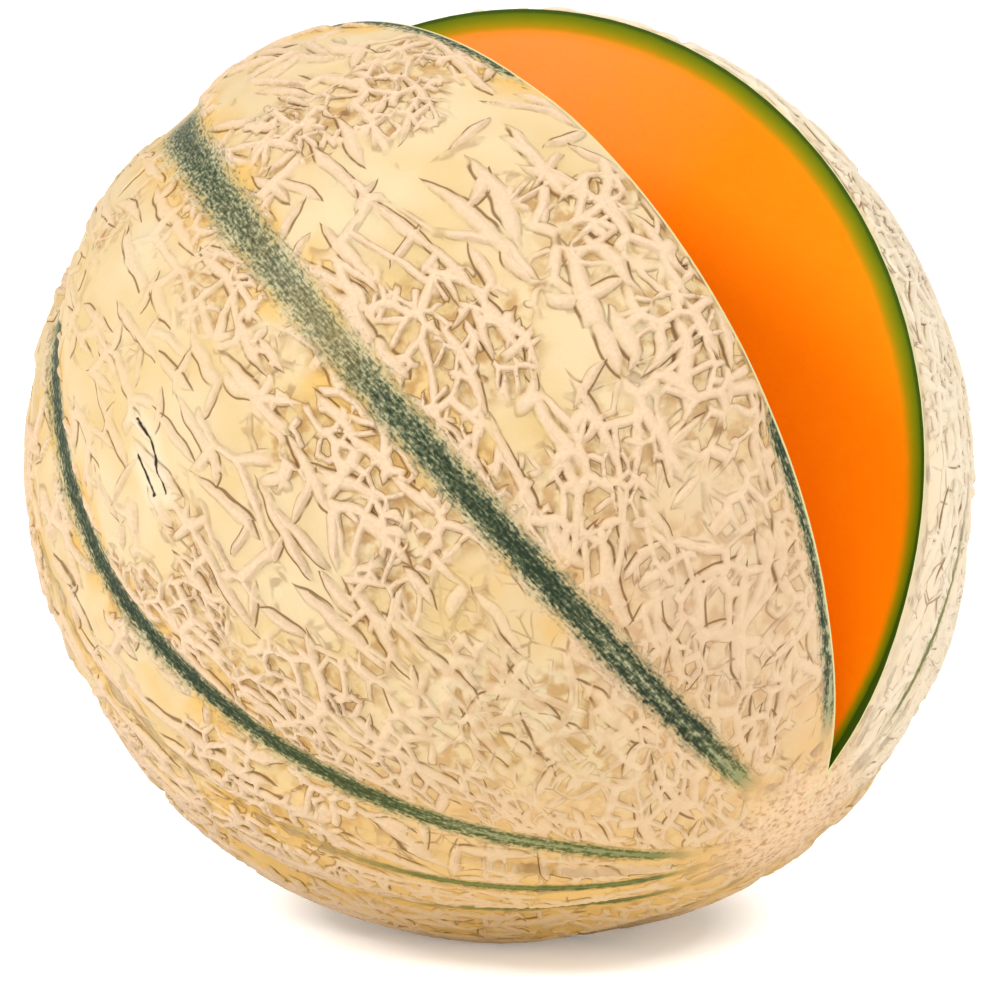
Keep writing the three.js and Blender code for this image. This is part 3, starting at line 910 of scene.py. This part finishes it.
def build_melon(rind, flesh):
    """The melon as one mesh: a ball, cut and hollowed, then lobed and netted."""
    ball = ball_tree()
    melon = blown_up("melon_fruit", ball, SKIN_CELLS, ellipsoid_shape, rind)
    cut_away(melon, slice_body(flesh))
    cut_away(melon, blown_up("hollow", ball, HOLLOW_CELLS, hollow_shape, flesh))
    mesh = melon.data
    outside = on_rind(mesh)
    points = points_of(mesh)
    fields = skin_fields(points)
    unit = points / np.linalg.norm(points, axis=1, keepdims=True)
    rim = knife_distance(points)
    fields["net_share"] *= smoothstep(rim, NET_RIM_NONE, NET_RIM_FULL) * outside
    fields["fibre_share"] = smoothstep(rim, NET_RIM_NONE, FIBRE_RIM_FULL) * ~outside
    move_points(mesh, np.where(outside[:, None], unit * fields["skin"][:, None], points))
    write_fields(mesh, fields, ["place", "net_share", "relief", "fibre_share"])
    heights = {"Net Height": NET_HEIGHT * MM, "Fibre Height": FIBRE_HEIGHT * MM}
    run_nodes(melon, relief_tree(), **heights, Middle=middle * MM, Rind=rind)
    simplify(melon)
    mesh = melon.data
    points = points_of(mesh)
    fields = skin_fields(points)
    fields["rim"] = knife_distance(points)
    fields["net_share"] *= smoothstep(fields["rim"], NET_RIM_NONE, NET_RIM_FULL)
    write_fields(mesh, fields, ["place", *FIELDS])
    mark_sharp_rims(mesh)
    return melon


def soft_box(name, place, size, power):
    """A square studio light that faces the melon."""
    light = bpy.data.lights.new(name, "AREA")
    light.size = size
    light.energy = power
    obj = bpy.data.objects.new(name, light)
    obj.location = place
    obj.rotation_euler = (middle * MM - obj.location).to_track_quat("-Z", "Y").to_euler()
    bpy.context.scene.collection.objects.link(obj)


def studio():
    """White paper, white surroundings, a light from each upper side and a weak one in front."""
    mesh = bpy.data.meshes.new("floor")
    corners = [(x * FLOOR_REACH, y * FLOOR_REACH, 0) for x, y in ((-1, -1), (1, -1), (1, 1), (-1, 1))]
    mesh.from_pydata(corners, [], [(0, 1, 2, 3)])
    paper = bpy.data.materials.new("White paper")
    paper.use_nodes = True
    shader = paper.node_tree.nodes["Principled BSDF"]
    shader.inputs["Base Color"].default_value = linear("#fafaf8")
    shader.inputs["Roughness"].default_value = 0.9
    shader.inputs["Emission Color"].default_value = linear("#ffffff")
    shader.inputs["Emission Strength"].default_value = 0.2
    new_object("floor", mesh, paper)
    world = bpy.data.worlds.new("studio")
    world.use_nodes = True
    world.node_tree.nodes["Background"].inputs["Color"].default_value = (1, 1, 1, 1)
    world.node_tree.nodes["Background"].inputs["Strength"].default_value = 1.0
    bpy.context.scene.world = world
    for name, (place, size, power) in LIGHTS.items():
        soft_box(name, Vector(place), size, power)


def camera():
    """The photo's view: far off, 8 degrees above the floor, the melon filling the frame."""
    elevation = math.radians(CAMERA_ELEVATION)
    back = Vector((0, -math.cos(elevation), math.sin(elevation)))
    up = Vector((0, math.sin(elevation), math.cos(elevation)))
    obj = bpy.data.objects.new("camera", bpy.data.cameras.new("camera"))
    obj.data.lens = CAMERA_LENS
    obj.data.clip_start = 0.01
    obj.location = middle * MM + back * CAMERA_DISTANCE
    aim = middle * MM - up * AIM_DOWN + Vector((AIM_RIGHT, 0, 0))
    obj.rotation_euler = (aim - obj.location).to_track_quat("-Z", "Y").to_euler()
    bpy.context.scene.collection.objects.link(obj)
    bpy.context.scene.camera = obj
    bpy.context.scene.view_settings.view_transform = "Standard"


melon = build_melon(rind_material(), flesh_material())
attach(melon, "root")
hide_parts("melon")
studio()
camera()
